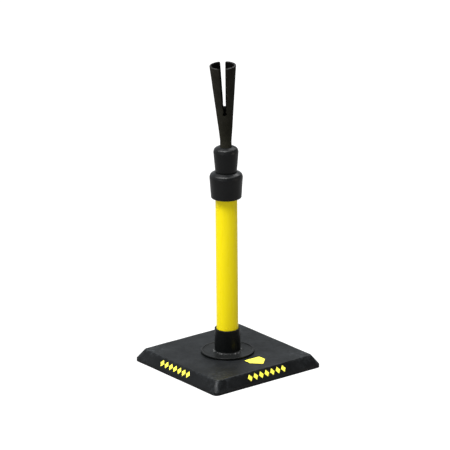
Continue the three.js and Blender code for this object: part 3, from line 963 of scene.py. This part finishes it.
def mark_cone(bm):
    """Stores each point's place in the cone, so that the material follows when the cone bends."""
    painted_inner_shade = bm.verts.layers.float.new("painted_inner_shade")
    rim = bm.verts.layers.float.new("rim")
    height = bm.verts.layers.float.new("height")
    for vert in bm.verts:
        radius = math.hypot(vert.co.x, vert.co.y)
        depth = outer_radius(vert.co.z) - radius
        # painted shade mask: 1 on the hollow's walls and the slot faces below the outer skin, which the
        # material paints near black
        vert[painted_inner_shade] = min(1.0, max(0.0, (depth - 0.6) / 1.5)) if vert.co.z > RELIEF_HEIGHT - 6 else 0.0
        # rim mask: the top 1.6 mm, where the pale band of wear and painted highlight goes
        vert[rim] = min(1.0, max(0.0, 1 - (RIM - vert.co.z) / 1.6))
        vert[height] = (vert.co.z - CONE_START) / (RIM - CONE_START)


def ball_rest():
    """The ball rest's neck and slotted cone in one piece, bent slightly at its neck."""
    bore = SPIGOT_RADIUS + GAP
    foot_radius, foot_top = INNER_RADIUS - GAP, REST_FOOT + 5.1
    outline = filleted([
        (bore, REST_FOOT, 0.5), (foot_radius, REST_FOOT, 0.8), (foot_radius, foot_top, 0.8),
        (NECK_RADIUS, foot_top, 0.6), (NECK_RADIUS, CONE_START, 40.0), (RIM_RADIUS, RIM, 1.1),
        (RIM_RADIUS - RIM_WALL, RIM, 1.3), (CAVITY_FLOOR_RADIUS, CAVITY_FLOOR, 3.0),
        (0, CAVITY_FLOOR), (0, PLUG_TOP + GAP), (bore, PLUG_TOP + GAP, 0.8),
    ], 7)
    bm = turned(subdivided(outline, 1.6), 216, moulded(41, 0.12, 0.10, 0.0))
    bm = cut(bm, [slot_cutter(1), slot_cutter(-1)])
    mark_cone(bm)
    for vert in bm.verts:
        vert.co = Vector(leaning(*vert.co))
    bm = moved(bm, matrix=Matrix.Rotation(TURN, 4, "Z"))
    obj = finished("ball_rest_cone", bm, REST_RUBBER, 35)
    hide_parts("rest_neck", "rest_cup")
    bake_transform(obj)


# ---------- printed marks ----------
def bevel_frame(side):
    """Middle, along, up and outward directions of a bevel: side 0 is -Y, side 1 is -X."""
    spin = Matrix.Rotation(-side * math.pi / 2, 3, "Z")
    rise = BASE_TOP - BASE_LIP
    middle = spin @ Vector((0, -(BASE_HALF - BASE_BEVEL / 2), (BASE_TOP + BASE_LIP) / 2))
    up = spin @ Vector((0, BASE_BEVEL, rise)).normalized()
    along = spin @ Vector((1, 0, 0))
    return middle, along, up, along.cross(up)


def decal(name, outlines, middle, along, up, outward):
    """Closed plates of paint that follow the slab's skin. Outlines are (along, up) points on a face."""
    thick, sink = 0.18, 0.25
    skin = bpy.data.objects["rubber_base"]
    bm = bmesh.new()

    def pressed(point, lift):
        """A vertex on the skin under a point of the face, lifted a little outward."""
        start = middle + along * point.x + up * point.y + outward * 8
        _, spot, _, _ = skin.ray_cast(start * MM, -outward)
        return bm.verts.new(spot / MM + outward * lift)

    layers = ((-sink, 1.0), (thick * 0.6, 1.0), (thick, 0.96), (thick, 0.7), (thick, 0.35))
    for outline in outlines:
        points = subdivided([Vector(p) for p in outline], 3.0)
        centre = sum(points, Vector((0, 0))) / len(points)
        rings = []
        for lift, shrink in layers:
            rings.append([pressed(centre + (point - centre) * shrink, lift) for point in points])
        bridge(bm, [[pressed(centre, -sink)], *rings, [pressed(centre, thick)]])
    obj = finished(name, bm, PAINT, 30)
    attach(obj, "base")


def diamond(x, width, height):
    """A diamond centred at x along the face."""
    return [(x - width / 2, 0), (x, -height / 2), (x + width / 2, 0), (x, height / 2)]


def printed_marks():
    """Generic yellow marks: a row of diamonds on the two front bevels, and a home plate on top."""
    step, wide, tall = 16.0, 13.0, 16.5
    for side, name, shift in ((0, "front_bevel_marks", 0.0), (1, "left_bevel_marks", -8.5)):
        row = [diamond(shift + (k - 3) * step, wide, tall) for k in range(7)]
        decal(name, row, *bevel_frame(side))
    plate = [(-21, 20), (-21, -1), (0, -22), (21, -1), (21, 20)]
    directions = Vector((1, 0, 0)), Vector((0, 1, 0)), Vector((0, 0, 1))
    decal("home_plate_mark", [plate], Vector((14, -92, BASE_TOP)), *directions)


# ---------- camera, floor and light ----------
def towards(azimuth, elevation):
    """The direction out to a camera or light. Azimuth runs from -Y towards +X. Angles in radians."""
    level = math.cos(elevation)
    return Vector((math.sin(azimuth) * level, -math.cos(azimuth) * level, math.sin(elevation)))


def camera():
    """The camera where the photo's was: a long lens, 9 m away, 18 degrees above the horizon."""
    elevation, roll, distance = math.radians(18.35), math.radians(-0.50), 9.0
    back = towards(PHOTO_AZIMUTH, elevation)
    level = Vector((math.cos(PHOTO_AZIMUTH), math.sin(PHOTO_AZIMUTH), 0))
    above = back.cross(level)
    aim = Vector((0, 0, 0.33)) - level * 0.0035 + above * 0.0052
    right = level * math.cos(roll) + above * math.sin(roll)
    up = above * math.cos(roll) - level * math.sin(roll)
    data = bpy.data.cameras.new("camera")
    data.lens, data.sensor_width = 317.3, 36.0
    data.clip_end = 500.0
    obj = added("camera", data)
    rotation = Matrix((right, up, back)).transposed().to_4x4()
    obj.matrix_world = Matrix.Translation(aim + back * distance) @ rotation
    bpy.context.scene.camera = obj


def area_light(name, azimuth, elevation, distance, size, power, colour=(1, 1, 1)):
    """A round light that faces the middle of the tee. Angles in degrees, power in watts."""
    back = towards(math.radians(azimuth), math.radians(elevation))
    data = bpy.data.lights.new(name, "AREA")
    data.shape, data.size = "DISK", size
    data.energy, data.color = power, colour
    obj = added(name, data)
    obj.location = Vector((0, 0, 0.35)) + back * distance
    obj.rotation_mode = "QUATERNION"
    obj.rotation_quaternion = back.to_track_quat("Z", "Y")


def floor():
    """A wide floor that gives off light: white to the camera, mid grey in reflections."""
    mesh = bpy.data.meshes.new("floor")
    reach = 150.0
    corners = [(-reach, -reach, 0), (reach, -reach, 0), (reach, reach, 0), (-reach, reach, 0)]
    mesh.from_pydata(corners, [], [(0, 1, 2, 3)])
    obj = added("floor", mesh)
    nodes = Nodes("pale_floor")
    nodes.link(nodes.mix(nodes.noise(3, 2), (0.11, 0.11, 0.11, 1), (0.13, 0.13, 0.13, 1)), "Base Color")
    nodes.shader.inputs["Roughness"].default_value = 0.9
    nodes.shader.inputs["Emission Color"].default_value = (1, 1, 1, 1)
    seen = nodes.add("ShaderNodeLightPath").outputs["Is Camera Ray"]
    nodes.link(nodes.math("ADD", nodes.product(seen, 0.65), 0.33), "Emission Strength")
    nodes.shader.inputs["Specular IOR Level"].default_value = 0.1
    mesh.materials.append(nodes.material)


def studio_world():
    """A grey room, white at the horizon, dark overhead and brighter on the photo's left."""
    world = bpy.data.worlds.new("studio")
    world.use_nodes = True
    background = world.node_tree.nodes["Background"]
    tree = Tree(world.node_tree)
    direction = tree.add("ShaderNodeTexCoord").outputs["Generated"]
    height = tree.add("ShaderNodeSeparateXYZ", {0: direction}).outputs[2]
    bands = tree.add("ShaderNodeValToRGB", {0: height})
    white, wall, ceiling = (1, 1, 1, 1), (0.45, 0.48, 0.50, 1), (0.12, 0.12, 0.12, 1)
    stops = bands.color_ramp.elements
    stops[0].position, stops[0].color = 0.06, white
    stops[1].position, stops[1].color = 0.09, wall
    stops.new(0.5).color = wall
    stops.new(0.65).color = ceiling
    photo_right = (math.cos(PHOTO_AZIMUTH), math.sin(PHOTO_AZIMUTH), 0)
    sideways = tree.add("ShaderNodeVectorMath", {0: direction, 1: photo_right}, operation="DOT_PRODUCT")
    left_to_right = {"From Min": -0.7, "From Max": 0.7, "To Min": 1.6, "To Max": 0.5}
    brightness = tree.add("ShaderNodeMapRange", {"Value": sideways.outputs["Value"], **left_to_right})
    above_white = tree.add("ShaderNodeMapRange", {"Value": height, "From Min": 0.06, "From Max": 0.09})
    strength = tree.add("ShaderNodeMix", {0: above_white.outputs[0], 2: 1.0, 3: brightness.outputs[0]})
    world.node_tree.links.new(bands.outputs[0], background.inputs["Color"])
    world.node_tree.links.new(strength.outputs[0], background.inputs["Strength"])
    bpy.context.scene.world = world


def lights():
    area_light("overhead", 0, 90, 3.0, 3.2, 80)
    area_light("softbox", -66, 68, 3.2, 1.6, 110)
    area_light("left_softbox", -116, 56, 3.2, 1.6, 70)
    area_light("key", -76, 8, 4.0, 1.6, 12)
    area_light("fill", 112, 46, 4.0, 2.0, 42)
    area_light("low_fill", 32, 5, 4.0, 1.6, 14, (1.0, 0.86, 0.70))


bpy.context.scene.view_settings.view_transform = "Standard"
camera()
floor()
studio_world()
lights()
base_mat()
backing_plate()
base_socket()
screws()
lower_tube()
outer_collar()
guide_bush()
inner_tube()
foot_ring()
rest_plug()
plug_pin()
head_collar()
ball_rest()
printed_marks()
